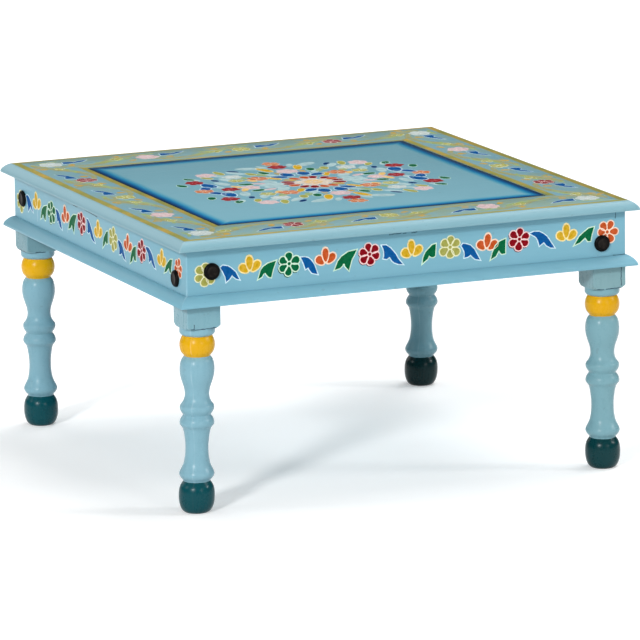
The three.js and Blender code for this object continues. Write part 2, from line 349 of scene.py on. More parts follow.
def finish(paint, colour, rough, height, relief, constants):
    """Feeds a material's Principled shader and sets its constants."""
    bump = shader(paint.node_tree, "Bump", {"Height": height, "Distance": relief}).outputs[0]
    sockets = {"Base Color": colour, "Roughness": rough, "Normal": bump, **constants}
    feed(paint.node_tree, paint.node_tree.nodes["Principled BSDF"], sockets)
    return paint


def brush_lines(tree, stretch, mitred):
    """Where brush lines run. Stretch says how fine they are along X, Y and Z."""
    spot = object_spot(tree)
    along = shader(tree, "Mapping", {"Vector": spot, "Scale": stretch}).outputs[0]
    if not mitred:
        return along
    swapped = (stretch[1], stretch[0], stretch[2])
    across = shader(tree, "Mapping", {"Vector": spot, "Scale": swapped}).outputs[0]
    on_front = place_on_table(tree)[1]
    return shader(tree, "Mix", {0: on_front, 4: across, 5: along}, data_type="VECTOR").outputs[1]


def enamel(
    paint, colour, stretch, level, mottling=0.5, gloss=0.3, relief=0.12 * MM, cut=None, mitred=False
):
    """Brushes enamel on, in lines that turn at the mitres where it is mitred."""
    tree = paint.node_tree
    along = brush_lines(tree, stretch, mitred)
    sockets = {"Colour": colour, "Across Brush": along, "Mottling": mottling, "Gloss": gloss}
    coat = shader(tree, "Group", sockets, node_tree=ENAMEL).outputs
    height = coat["Height"]
    if cut:
        height = reckon(tree, "MULTIPLY_ADD", cut, -2.0, height)
    constants = {"Specular IOR Level": level}
    return finish(paint, coat["Colour"], coat["Roughness"], height, relief, constants)


def corner_highlight_group():
    """A painted highlight, in patches, where two boards meet at a corner of the table."""
    group, given, made = new_group("worn_corner", [("Reach", "Float", 0.002)], [("Wear", "Float")])
    far_x, far_y, height = off_middle(group)
    off_corner = reckon(group, "ABSOLUTE", reckon(group, "SUBTRACT", far_x, far_y))
    near = step_between(group, reckon(group, "DIVIDE", off_corner, given["Reach"]), 1.0, 0.15)
    patches = step_between(group, noise(group, 55.0, 4.0), 0.3, 0.62)
    feed(group, made, {"Wear": reckon(group, "MULTIPLY", near, patches)})
    return group


CORNER_HIGHLIGHT = corner_highlight_group()


def highlight_corners(tree, colour, reach, strength):
    """Lightens a colour along the corners, as a painted highlight."""
    highlight = shader(tree, "Group", {"Reach": reach}, node_tree=CORNER_HIGHLIGHT).outputs["Wear"]
    return blend_colours(tree, highlight, colour, toned(tree, colour, 0.72, 1.22), strength)


def wobble(tree, scale, amount):
    """A small unsteadiness of the hand, in metres."""
    return reckon(tree, "MULTIPLY", reckon(tree, "SUBTRACT", noise(tree, scale, 3.0), 0.5), amount)


def painted_band(tree, distance, start, end, soft):
    """1 between two distances and 0 outside, with a soft edge."""
    rise = step_between(tree, distance, start - soft, start + soft)
    fall = step_between(tree, distance, end - soft, end + soft)
    return reckon(tree, "SUBTRACT", rise, fall, clamp=True)


def ochre_line(tree, gap, on_front, thinner, width):
    """A painted line as wide as a gap allows. It is drawn thinner along the front and the back."""
    gap = reckon(tree, "MULTIPLY", gap, reckon(tree, "MULTIPLY_ADD", on_front, thinner, 1.0))
    return painted_band(tree, gap, 0, width, 0.4 * MM)


def frame_paint():
    """Light blue enamel with an ochre line painted by hand along each edge of the frame's top."""
    paint, tree = new_paint("frame_enamel")
    out, on_front, height = place_on_table(tree)
    shaky = reckon(tree, "ADD", out, wobble(tree, 22.0, 2.4 * MM))
    inset = reckon(tree, "SUBTRACT", OUTER_LINE, shaky)
    outset = reckon(tree, "SUBTRACT", shaky, INNER_LINE)
    outer = ochre_line(tree, inset, on_front, 0.35, OUTER_LINE_WIDTH)
    inner = ochre_line(tree, outset, on_front, 1.8, INNER_LINE_WIDTH)
    on_top = reckon(tree, "GREATER_THAN", height, TABLE_TOP - OVER_EDGE)
    line = reckon(tree, "MULTIPLY", reckon(tree, "MAXIMUM", outer, inner), on_top)
    ochre = ramp(tree, noise(tree, 26.0, 4.0), [
        (0.3, srgb(142, 145, 76)), (0.5, srgb(162, 153, 76)), (0.68, srgb(188, 160, 78)),
    ])
    # Between the lines the blue is washed over with a yellowish haze, more so in front.
    field = painted_band(tree, out, HAZE_INNER, HAZE_OUTER, 0.5 * MM)
    haze = reckon(tree, "MULTIPLY", step_between(tree, noise(tree, 34.0, 4.0), 0.4, 0.66), 0.55)
    haze = reckon(tree, "MULTIPLY_ADD", on_front, 0.25, haze)
    washed = blend_colours(tree, haze, srgb(124, 168, 182), srgb(148, 166, 134))
    # The corners of the lip get a painted highlight.
    lip = highlight_corners(tree, srgb(128, 170, 182), 2.6 * MM, 0.6)
    ground = blend_colours(tree, reckon(tree, "MULTIPLY", field, on_top), lip, washed)
    colour = blend_colours(tree, line, ground, ochre)
    return enamel(paint, colour, (14, 260, 260), 0.22, 0.35, mitred=True)


front_board = moulded_board(
    "frame_board_front",
    (-FRAME_HALF, -FRAME_HALF, FRAME_BOTTOM),
    (FRAME_HALF, -FRAME_INNER, TABLE_TOP),
    EDGE_RUN,
    EDGE_DROP,
)
edit_all(front_board)
bpy.ops.mesh.bisect(plane_co=(0, 0, LEDGE_TOP), plane_no=(0, 0, 1))
pick(front_board, "FACE", lambda spot: spot.y > -FRAME_INNER - TOUCH and spot.z < LEDGE_TOP + TOUCH)
bpy.ops.mesh.extrude_region_move(TRANSFORM_OT_translate={"value": (0, LEDGE_WIDTH, 0)})
cut_mitres(front_board)
ease_edges(front_board, SOFT_EDGE)
frame_finish = frame_paint()
for side, board in all_round(front_board).items():
    settle(board, [frame_finish], "frame_paint", f"top_frame_{side}")


# Top panel: one flat board, dropped into the frame so that its face lies about a millimetre low.
# Its edge is shaded from navy to the light blue of the field, by a dry brush.
PANEL_HALF = 252.2 * MM
PANEL_TOP = 387 * MM
PANEL_EDGE = 0.8 * MM
SHADED_WIDTH = 25.5 * MM
SHADED_FURTHER = 8 * MM


def panel_paint():
    """Light blue enamel, shaded to navy along the edge and a little further in front and behind."""
    paint, tree = new_paint("panel_enamel")
    out, on_front, height = place_on_table(tree)
    inward = reckon(tree, "ADD", reckon(tree, "SUBTRACT", PANEL_HALF, out), wobble(tree, 14.0, 5 * MM))
    reach = reckon(tree, "MULTIPLY_ADD", on_front, SHADED_FURTHER, SHADED_WIDTH)
    shading = ramp(tree, reckon(tree, "DIVIDE", inward, reach, clamp=True), [
        (0.0, srgb(2, 28, 40)),
        (0.1, srgb(3, 38, 66)),
        (0.24, srgb(4, 60, 104)),
        (0.4, srgb(8, 90, 144)),
        (0.58, srgb(38, 130, 170)),
        (0.78, srgb(86, 157, 180)),
        (1.0, srgb(121, 169, 183)),
    ])
    return enamel(paint, shading, (14, 200, 200), 0.08, 0.4)


panel = plank("panel_board", (-PANEL_HALF, -PANEL_HALF, LEDGE_TOP), (PANEL_HALF, PANEL_HALF, PANEL_TOP))
ease_edges(panel, PANEL_EDGE, 3)
settle(panel, [panel_paint()], "panel_paint", "top_panel")


# Apron: four boards on edge under the frame. The left and right ones run the full depth, and the
# front and back ones are glued in between them. Each is bored for two leg bolts.
APRON_HALF = 334.5 * MM
APRON_THICK = 15 * MM
APRON_BOTTOM = 295 * MM
APRON_TOP = FRAME_BOTTOM - MITRE_GAP
BOLT_INSET = 37.5 * MM
BOLT_ACROSS = APRON_HALF - BOLT_INSET
BOLT_HIGH = 342 * MM
BOLT_LOW = 329 * MM
HOLE_RADIUS = 4.3 * MM
CORNER_ROUND = 1.6 * MM


def reckon_vector(tree, operation, first, second, result="Vector"):
    sockets = {0: first, "Scale" if operation == "SCALE" else 1: second}
    return shader(tree, "VectorMath", sockets, operation=operation).outputs[result]


def crack_group():
    """A fine crack in the paint from one point to another, a little crooked."""
    group, given, made = new_group(
        "paint_crack",
        [("Start", "Vector", (0, 0, 0)), ("End", "Vector", (0, 0, 1)), ("Width", "Float", 0.001)],
        [("Crack", "Float")],
    )
    shaken = noise(group, 240.0, 3.0).node.outputs["Color"]
    shake = reckon_vector(group, "SUBTRACT", shaken, (0.5, 0.5, 0.5))
    shake = reckon_vector(group, "SCALE", shake, 2.4 * MM)
    here = reckon_vector(group, "ADD", object_spot(group), shake)
    run = reckon_vector(group, "SUBTRACT", given["End"], given["Start"])
    gone = reckon_vector(group, "SUBTRACT", here, given["Start"])
    along = reckon_vector(group, "DOT_PRODUCT", gone, run, "Value")
    whole = reckon_vector(group, "DOT_PRODUCT", run, run, "Value")
    share = reckon(group, "DIVIDE", along, whole, clamp=True)
    nearest = reckon_vector(group, "SCALE", run, share)
    off = reckon_vector(group, "DISTANCE", gone, nearest, "Value")
    off = reckon(group, "DIVIDE", off, given["Width"])
    feed(group, made, {"Crack": step_between(group, off, 0.6, 0.3)})
    return group


CRACK = crack_group()


def cracks(tree, lines, width):
    """The share of cracked paint along lines, each given as two points in millimetres."""
    share = 0.0
    for start, end in lines:
        ends = {"Start": Vector(start) * MM, "End": Vector(end) * MM, "Width": width}
        crack = shader(tree, "Group", ends, node_tree=CRACK).outputs["Crack"]
        share = reckon(tree, "MAXIMUM", crack, share)
    return share


# Where the joints have opened or the paint is scratched, and two pale runs of paint.
APRON_CRACKS = [
    ((-30, -334.5, 370), (-12, -334.5, 370.3)), ((-9, -334.5, 370), (-4, -334.5, 370)),
    ((4, -334.5, 369.8), (12, -334.5, 370)), ((318.6, -334.5, 363), (318.9, -334.5, 373)),
    ((315, -334.6, 310), (334, -334.6, 310)), ((-334.5, 95, 365.6), (-334.5, 77, 366.5)),
    ((-334.5, 49, 367), (-334.5, 22, 366)), ((-334.5, 22, 366), (-334.5, 0, 364.5)),
]
APRON_DRIPS = [((-334.5, 119, 331), (-334.5, 119, 322)), ((-334.5, 240, 334), (-334.5, 240, 318))]


def apron_paint():
    """Light blue enamel with fine brush lines along the boards."""
    paint, tree = new_paint("apron_enamel")
    opened = cracks(tree, APRON_CRACKS, 1.3 * MM)
    # A painted highlight along the corners of the apron and the moulding.
    colour = highlight_corners(tree, srgb(123, 175, 193), 2.2 * MM, 0.6)
    colour = blend_colours(tree, cracks(tree, APRON_DRIPS, 2.2 * MM), colour, srgb(190, 214, 222), 0.4)
    colour = blend_colours(tree, opened, colour, srgb(34, 62, 76), 0.85)
    return enamel(paint, colour, (9, 9, 210), 0.1, 0.35, cut=opened)


def bore(piece, spot, direction, radius, length):
    """Drills a round hole through a piece."""
    only()
    bpy.ops.mesh.primitive_cylinder_add(vertices=32, radius=radius, depth=length, location=spot)
    drill = bpy.context.object
    drill.rotation_euler = Vector(direction).to_track_quat("Z", "Y").to_euler()
    subtract(piece, drill)


def subtract(piece, tool, operation="DIFFERENCE"):
    """Cuts a piece with a tool, which is then taken away."""
    only(piece)
    cut = piece.modifiers.new("cut", "BOOLEAN")
    cut.operation = operation
    cut.solver = "EXACT"
    cut.object = tool
    bpy.ops.object.modifier_apply(modifier=cut.name)
    bpy.data.objects.remove(tool)


def apron_board(name, half_length):
    """An apron board along the front, its left bolt the higher one."""
    low = (-half_length, -APRON_HALF, APRON_BOTTOM)
    board = plank(name, low, (half_length, -APRON_HALF + APRON_THICK, APRON_TOP))
    pick(board, "EDGE", lambda spot: abs(spot.z - APRON_BOTTOM) < TOUCH)
    bpy.ops.mesh.bevel(offset=SOFT_EDGE, segments=2, affect="EDGES")
    for x, z in ((-BOLT_ACROSS, BOLT_HIGH), (BOLT_ACROSS, BOLT_LOW)):
        bore(board, (x, -APRON_HALF + APRON_THICK / 2, z), (0, 1, 0), HOLE_RADIUS, 3 * APRON_THICK)
    smooth(board)
    return board


apron_finish = apron_paint()
long_board = apron_board("apron_board_right", APRON_HALF)
for way in (-1, 1):
    pick(long_board, "EDGE", lambda spot: way * spot.x > APRON_HALF - MM and spot.y < -APRON_HALF + MM)
    bpy.ops.mesh.bevel(offset=CORNER_ROUND, segments=4, affect="EDGES")
smooth(long_board)
long_board.data.transform(quarter_turn(1))
short_board = apron_board("apron_board_front", APRON_HALF - APRON_THICK)
apron_boards = {
    "front": short_board,
    "right": long_board,
    "back": own_copy(short_board, "apron_board_back", quarter_turn(2)),
    "left": own_copy(long_board, "apron_board_left", quarter_turn(2)),
}
for side, board in apron_boards.items():
    settle(board, [apron_finish], "apron_paint", f"apron_{side}")


# Base moulding: four strips with the same rounding as the top's edge, mitred and pinned round
# the foot of the apron.
MOULDING_TOP = 310 * MM
MOULDING_REACH = 348 * MM
MOULDING_DROP = 13 * MM
MOULDING_RUN = 13.1 * MM
MOULDING_EDGE = 0.2 * MM

front_strip = moulded_board(
    "moulding_strip_front",
    (-MOULDING_REACH, -MOULDING_REACH, APRON_BOTTOM),
    (MOULDING_REACH, -APRON_HALF - MITRE_GAP, MOULDING_TOP),
    MOULDING_RUN,
    MOULDING_DROP,
)
ease_edges(front_strip, MOULDING_EDGE)
for side, strip in all_round(front_strip).items():
    settle(strip, [apron_finish], "apron_paint", f"base_moulding_{side}")


# Legs: each is turned on the lathe from a 50 mm square blank, which stays square for the block
# at its top. The block is rebated to stand inside the apron and bored for two crossing bolts.
LEG_HALF = 25 * MM
SHOULDER = 265 * MM
LEG_CENTRE = 309.5 * MM
LEG_STEPS = 72
CURVE_STEPS = 3
REBATE = 15.3 * MM
BLOCK_EDGE = 0.9 * MM
WELL_CLEAR = 60 * MM
WELL_ABOVE = 400 * MM
BORE_LENGTH = 80 * MM
# Heights at which the yellow begins and ends, the teal ends and the block's duller blue, painted shade
# under the apron, takes over.
YELLOW_FROM = 221 * MM
YELLOW_TO = 250.3 * MM
TEAL_TOP = 44.5 * MM
BLOCK_SHADE_FROM = 261 * MM
# How far the feet of two of the legs stand out of true.
OUT_OF_TRUE = (-4.51 * MM, 1.91 * MM)
# The outline from the floor up, as (height, radius) in millimetres. Each list is one smooth curve,
# and the next one starts from its end at a crease.
TURNING = [
    [(0, 16.2), (1.2, 18.2), (3.2, 20.2), (5.8, 21.8), (9, 23.1), (13, 24.2), (18, 24.9), (23.5, 25.1),
     (29, 24.9), (33, 24.3), (36.5, 23.3), (39.5, 21.8), (42, 20.1), (44.2, 18.7)],
    [(44.2, 18.7), (45.6, 19.3), (47.5, 20.9), (49.6, 22.7), (51.6, 23.8), (54.2, 24.5), (56.6, 24.1),
     (59.2, 23), (62.2, 21.4), (65.4, 19.9), (69, 18.5), (74, 17.4), (80, 16.5), (87, 16.05), (94, 16),
     (100, 16.35), (107, 17.2), (113, 18.1), (118.2, 19.4)],
    [(118.2, 19.4), (120.2, 20.5), (122.4, 22.2), (124.2, 23.5), (126.6, 24.1), (129, 23.8), (131.6, 23),
     (134.2, 21.5), (136.3, 20), (137.8, 19.2)],
    [(137.8, 19.2), (139.8, 20.2), (142.2, 21.9), (144.6, 23.1), (147.4, 23.8), (150.2, 23.7),
     (152.2, 22.8), (154.2, 21.2), (156.6, 19.6), (159.6, 18.3), (163.4, 17.3), (167.6, 17), (172, 17.4),
     (177, 18.4), (182, 20.1), (187, 21.7), (192, 23.1), (197, 23.95), (202, 24.2), (206.5, 24),
     (210.5, 23.4), (214, 22.4), (217, 21), (219.2, 19.3), (220.9, 18.1)],
    [(220.9, 18.1), (222.8, 19.1), (224.6, 20.8), (226.8, 22.3), (229.6, 23.5), (233, 24.3), (237, 24.6),
     (240.6, 24.3), (243.6, 23.5), (246.4, 22.4), (248.6, 21.3), (250.2, 20.3)],
    [(250.2, 20.3), (251.4, 22.4), (252.8, 23.9), (254.2, 24.6), (255.8, 24.8), (258.6, 24.8),
     (261.6, 24.8)],
    [(261.6, 24.8), (262.1, 30.4)],
    [(262.1, 30.4), (263.8, 32.2), (265.6, 34.1), (267.4, 35.6), (269, 36.6)],
]


def curve_through(spots):
    """Points on a smooth curve through some spots."""
    points = []
    for index in range(len(spots) - 1):
        start, end = Vector(spots[index]), Vector(spots[index + 1])
        start_pull = (end - Vector(spots[max(index - 1, 0)])) / 2
        end_pull = (Vector(spots[min(index + 2, len(spots) - 1)]) - start) / 2
        for step in range(CURVE_STEPS):
            t = step / CURVE_STEPS
            spot = start * (2 * t**3 - 3 * t**2 + 1) + end * (3 * t**2 - 2 * t**3)
            spot += start_pull * (t**3 - 2 * t**2 + t) + end_pull * (t**3 - t**2)
            points.append(spot)
    return points + [Vector(spots[-1])]


def leg_outline():
    """Points [radius, height] up the turned leg."""
    points = [(0, 0)]
    for spots in TURNING:
        points += [(radius * MM, height * MM) for height, radius in curve_through(spots)]
    return points + [(points[-1][0], APRON_TOP), (0, APRON_TOP)]


def spun(name, outline, steps):
    """A turned solid: an outline of [radius, height] points, spun once round the Z axis."""
    mesh = bpy.data.meshes.new(name)
    links = [(i, i + 1) for i in range(len(outline) - 1)]
    mesh.from_pydata([(radius, 0, height) for radius, height in outline], links, [])
    piece = bpy.data.objects.new(name, mesh)
    bpy.context.scene.collection.objects.link(piece)
    edit_all(piece)
    bpy.ops.mesh.spin(steps=steps, angle=2 * math.pi, center=(0, 0, 0), axis=(0, 0, 1))
    bpy.ops.mesh.select_all(action="SELECT")
    bpy.ops.mesh.remove_doubles(threshold=0.005 * MM)
    bpy.ops.mesh.normals_make_consistent(inside=False)
    bpy.ops.object.mode_set(mode="OBJECT")
    return piece


def leg_paint(name, blue, shaded_block_blue, yellow, teal, lines):
    """Light blue gloss, a yellow bulb under the collar, a dark teal foot, and painted shade on the block.
    """
    paint, tree = new_paint(name)
    height = off_middle(tree)[2]
    shaky = reckon(tree, "ADD", height, wobble(tree, 60.0, 2.2 * MM))
    bulb = painted_band(tree, shaky, YELLOW_FROM, YELLOW_TO, 0.25 * MM)
    foot = step_between(tree, shaky, TEAL_TOP, TEAL_TOP - 0.6 * MM)
    # Above the collar the block is a duller, darker blue: painted shade under the apron and moulding.
    block = step_between(tree, height, BLOCK_SHADE_FROM, BLOCK_SHADE_FROM + 3 * MM)
    colour = blend_colours(tree, block, srgb(*blue), srgb(*shaded_block_blue))
    colour = blend_colours(tree, bulb, colour, srgb(*yellow))
    colour = blend_colours(tree, foot, colour, srgb(*teal))
    # A painted highlight where the table's diagonal crosses the leg, along the block's corner edges.
    colour = highlight_corners(tree, colour, 1.8 * MM, 0.5)
    # Dark lines: cracks, and at the collar also painted shade under the block's overhang.
    opened = cracks(tree, lines, 1.5 * MM)
    colour = blend_colours(tree, opened, colour, srgb(24, 52, 70), 0.85)
    return enamel(paint, colour, (150, 150, 40), 0.17, 0.3, 0.26, 0.06 * MM, opened)


turned_leg = spun("table_leg", leg_outline(), LEG_STEPS)
blank = plank("blank", (-LEG_HALF, -LEG_HALF, -MM), (LEG_HALF, LEG_HALF, WELL_ABOVE))
ease_edges(blank, BLOCK_EDGE, 3)
subtract(turned_leg, blank, "INTERSECT")
rebate_edge = REBATE - LEG_HALF
for far_x, far_y in ((WELL_CLEAR, rebate_edge), (rebate_edge, WELL_CLEAR)):
    waste = plank("waste", (-WELL_CLEAR, -WELL_CLEAR, APRON_BOTTOM), (far_x, far_y, WELL_ABOVE))
    subtract(turned_leg, waste)
bolt_offset = BOLT_INSET - LEG_HALF
bore(turned_leg, (bolt_offset, 0, BOLT_HIGH), (0, 1, 0), HOLE_RADIUS, BORE_LENGTH)
bore(turned_leg, (0, bolt_offset, BOLT_LOW), (1, 0, 0), HOLE_RADIUS, BORE_LENGTH)
smooth(turned_leg, 32)

CORNERS = ("front_left", "front_right", "back_right", "back_left")
turned_leg.data.transform(Matrix.Translation((-LEG_CENTRE, -LEG_CENTRE, 0)))
legs = [own_copy(turned_leg, f"table_leg_{corner}", quarter_turn(i)) for i, corner in enumerate(CORNERS)]
bpy.data.objects.remove(turned_leg)
# Each leg has its own coats: its blue, the block's blue, the yellow, the teal, and the cracks where the
# square block meets the turned collar. The right and back legs are darker, as painted shade, and the
# blocks a duller blue, also painted shade. The lines at the collar are partly cracked paint and partly
# painted shade under the block's small overhang.
LEG_COATS_AND_SHADE = {
    "front_left": ((130, 174, 189), (124, 168, 180), (221, 167, 0), (0, 72, 80), [
        ((-331, -334.5, 263), (-318, -334.5, 261.9)), ((-318, -334.5, 261.9), (-304, -334.5, 262.5)),
        ((-304, -334.5, 262.5), (-291, -334.5, 262.8)), ((-323.7, -334.5, 262), (-323.9, -334.5, 269)),
    ]),
    "front_right": ((122, 164, 174), (126, 162, 168), (219, 163, 0), (0, 54, 58), [
        ((290, -334.5, 263), (300, -334.5, 262)), ((304, -334.5, 262), (326, -334.5, 262.8)),
        ((327.5, -334.5, 266), (327.5, -334.5, 295)),
    ]),
    "back_right": ((112, 154, 166), (112, 150, 160), (214, 158, 0), (0, 40, 42), [
        ((334.5, 300, 262.4), (334.5, 318, 262)),
    ]),
    "back_left": ((130, 174, 189), (116, 156, 166), (227, 172, 0), (0, 72, 80), [
        ((-334.5, 292, 262.6), (-334.5, 322, 262.2)), ((-322, 284.5, 262.4), (-306, 284.5, 262)),
    ]),
}
for leg, corner in zip(legs, CORNERS):
    if corner in ("front_left", "back_right"):
        for vertex in leg.data.vertices:
            share = max(0, 1 - vertex.co.z / SHOULDER)
            vertex.co.x += OUT_OF_TRUE[0] * share
            vertex.co.y += OUT_OF_TRUE[1] * share
    leg_finish = leg_paint(f"leg_gloss_{corner}", *LEG_COATS_AND_SHADE[corner])
    settle(leg, [leg_finish], "leg_paint", f"leg_{corner}")


# Leg bolts, washers and nuts: zinc plated steel. Each bolt passes through the apron and the leg,
# and a washer and a hexagon nut hold it inside. They are drawn along Z from the apron's face.
BOLT_RADIUS = 4 * MM
BOLT_END = -61.6 * MM
BOLT_TAPER = 0.8 * MM
THREAD_START = -44 * MM
THREAD_PITCH = 1.25 * MM
THREAD_DEPTH = 0.55 * MM
HEAD_OUTLINE = [(4, 0.3), (8.5, 0.3), (8.5, 1.6), (8.2, 2.1), (7.6, 2.3), (0, 2.3)]
WASHER_OUTLINE = [
    (4.3, -51.8), (8.75, -51.8), (9, -51.55), (9, -50.55), (8.75, -50.3), (4.3, -50.3), (4.3, -51.8),
]
NUT_FLATS = 13 * MM
NUT_LOW = -58.6 * MM
NUT_HIGH = -52.1 * MM
NUT_CHAMFER = 0.6 * MM
NUT_BEVEL = 1.2 * MM
NUT_HOLE_RADIUS = 4.06 * MM


def zinc_plate():
    """Dull zinc: grey with a soft spangle, stained a little brown in places."""
    paint, tree = new_paint("zinc_plate")
    spangle = shader(tree, "TexVoronoi", {"Vector": object_spot(tree), "Scale": 620.0}).outputs["Color"]
    tone = shader(tree, "SeparateXYZ", {0: spangle}).outputs[0]
    stain = noise(tree, 90.0, 4.0)
    grey = blend_colours(tree, tone, srgb(150, 153, 156), srgb(182, 184, 186))
    grey = blend_colours(tree, step_between(tree, stain, 0.5, 0.72), grey, srgb(124, 120, 108))
    rough = reckon(tree, "MULTIPLY_ADD", stain, 0.35, 0.22)
    return finish(paint, grey, rough, tone, 0.02 * MM, {"Metallic": 0.9})


def corner_places(corner_index):
    """Turns that take a fastener from the origin, pointing out along +Z, to its two apron faces."""
    high = Matrix.Translation((-BOLT_ACROSS, -APRON_HALF, BOLT_HIGH)) @ Matrix.Rotation(math.pi / 2, 4, "X")
    low = Matrix.Translation((-APRON_HALF, -BOLT_ACROSS, BOLT_LOW)) @ Matrix.Rotation(-math.pi / 2, 4, "Y")
    return {"high": quarter_turn(corner_index) @ high, "low": quarter_turn(corner_index) @ low}


def set_fasteners(pattern, name, node, paints, slot):
    """Puts a copy of a fastener at each of the eight bolts."""
    smooth(pattern, 40)
    for index, corner in enumerate(CORNERS):
        for level, place in corner_places(index).items():
            copy = own_copy(pattern, f"{name}_{corner}_{level}", place)
            settle(copy, paints, slot, f"{node}_{corner}_{level}")
    bpy.data.objects.remove(pattern)


def in_metres(points):
    return [(across * MM, up * MM) for across, up in points]


def bolt_outline():
    """Points [radius, height] up the bolt, its thread drawn as a row of grooves."""
    points = [(0, BOLT_END), (BOLT_RADIUS - BOLT_TAPER, BOLT_END)]
    height = BOLT_END + BOLT_TAPER
    while height < THREAD_START:
        points.append((BOLT_RADIUS, height))
        points.append((BOLT_RADIUS - THREAD_DEPTH, height + THREAD_PITCH / 2))
        height += THREAD_PITCH
    return points + [(BOLT_RADIUS, height)] + in_metres(HEAD_OUTLINE)


zinc = zinc_plate()
set_fasteners(spun("bolt_pattern", bolt_outline(), 24), "leg_screw", "leg_bolt", [zinc], "zinc_fastener")
washer = spun("washer_pattern", in_metres(WASHER_OUTLINE), 40)
set_fasteners(washer, "flat_washer", "bolt_washer", [zinc], "zinc_fastener")

corner_radius = NUT_FLATS / math.sqrt(3)
nut_middle = (0, 0, (NUT_LOW + NUT_HIGH) / 2)
only()
bpy.ops.mesh.primitive_cylinder_add(
    vertices=6,
    radius=corner_radius,
    depth=NUT_HIGH - NUT_LOW,
    location=nut_middle,
    rotation=(0, 0, math.radians(30)),
)
bpy.ops.object.transform_apply(location=True, rotation=True, scale=True)
nut = bpy.context.object
corner_radius += TOUCH
chamfer = [
    (0, NUT_LOW), (corner_radius - NUT_BEVEL, NUT_LOW), (corner_radius, NUT_LOW + NUT_CHAMFER),
    (corner_radius, NUT_HIGH - NUT_CHAMFER), (corner_radius - NUT_BEVEL, NUT_HIGH), (0, NUT_HIGH),
]
subtract(nut, spun("nut_chamfer", chamfer, 48), "INTERSECT")
bore(nut, nut_middle, (0, 0, 1), NUT_HOLE_RADIUS, BORE_LENGTH)
set_fasteners(nut, "hex_nut", "bolt_nut", [zinc], "zinc_fastener")


# Bolt caps: shallow round covers of black plastic, pushed over the heads of the leg bolts. The
# flat middle of each is a little dished and scuffed.
CAP_OUTLINE = [
    (0, 1.0), (8.5, 1.0), (8.8, 0.3), (11.6, 0.3), (11.9, 0.6), (11.9, 1.6), (11.7, 2.4), (11.1, 3.3),
    (10.2, 4.1), (9.2, 4.6), (8.4, 4.8), (7.8, 4.75), (7.4, 4.45), (7.1, 4.3), (0, 4.25),
]
SCUFFED_RADIUS = 7.3 * MM
SCUFFED_ABOVE = 4 * MM


def cap_paint(name, dark, scuffed):
    """Black plastic with fine scuffs."""
    paint, tree = new_paint(name)
    scuffs = noise(tree, 160.0, 5.0)
    colour = ramp(tree, scuffs, [(0.42, dark), (0.72, scuffed)])
    rough = reckon(tree, "MULTIPLY_ADD", scuffs, 0.3, 0.3)
    return finish(paint, colour, rough, scuffs, 0.1 * MM, {"Specular IOR Level": 0.08})


cap = spun("cap_pattern", in_metres(CAP_OUTLINE), 48)
for face in cap.data.polygons:
    face.material_index = int(face.center.z > SCUFFED_ABOVE and face.center.xy.length < SCUFFED_RADIUS)
cap_finishes = [
    cap_paint("black_cap_satin", srgb(3, 3, 3), srgb(12, 11, 11)),
    cap_paint("black_cap_worn", srgb(20, 17, 15), srgb(42, 37, 33)),
]
set_fasteners(cap, "screw_cap", "bolt_cap", cap_finishes, "black_cap")


# Painted border of the apron: flowers, buds and leaves in coloured enamel. Each shape is drawn
# first with a raised bead of pale paste, and the colour is then brushed inside the bead.
BEAD_WIDTH = 1.5 * MM
TOP_BEAD = 0.7 * MM
HEART_BEAD = 0.8 * MM
BEAD_FOOT = 0.12 * MM
BEAD_RISE = 0.28 * MM
POOL_DROP = 0.2 * MM
PASTE_SINK = 0.03 * MM
PETAL_REACH = 15.8
PETAL_LIFT = 0.3 * MM
HEART_LIFT = 0.12 * MM
LAYER = 0.012 * MM
LEAF_SPREAD = 0.7
TIP_REACH = 2.3
# Each coat has the colour brushed inside and the colour of the bead round it, as on a paint chart.
COATS = {
    "blue": ((16, 88, 154), (206, 232, 242)),
    "green": ((14, 100, 60), (206, 236, 212)),
    "red": ((134, 12, 26), (244, 208, 206)),
    "yellow": ((212, 169, 50), (246, 226, 160)),
    "orange": ((196, 89, 48), (250, 220, 196)),
    "salmon": ((200, 112, 70), (236, 206, 180)),
    "lime": ((166, 166, 88), (232, 232, 190)),
    "pink": ((216, 188, 190), (224, 208, 206)),
    "white": ((196, 208, 206), (214, 222, 216)),
    "cream": ((222, 208, 190), (228, 214, 204)),
    "straw": ((232, 196, 122), (236, 196, 160)),
    "crimson": ((150, 4, 22), (186, 106, 110)),
    "navy": ((8, 54, 108), (150, 186, 206)),
    "dark_red": ((96, 14, 30), (96, 14, 30)),
    "dark_green": ((10, 74, 48), (10, 74, 48)),
}
# Coats brushed on thin, without a bead, so that the blue under them shows through in streaks.
WASHES = {
    "tan": (164, 160, 104),
    "ochre": (196, 160, 66),
    "lime_wash": (158, 176, 104),
    "pale": (178, 206, 208),
}
# The darker coat that some flowers had first, and its height against that of a full coat.
FIRST_COAT = {"red": "dark_red", "green": "dark_green"}
FIRST_COAT_DEPTH = 0.3
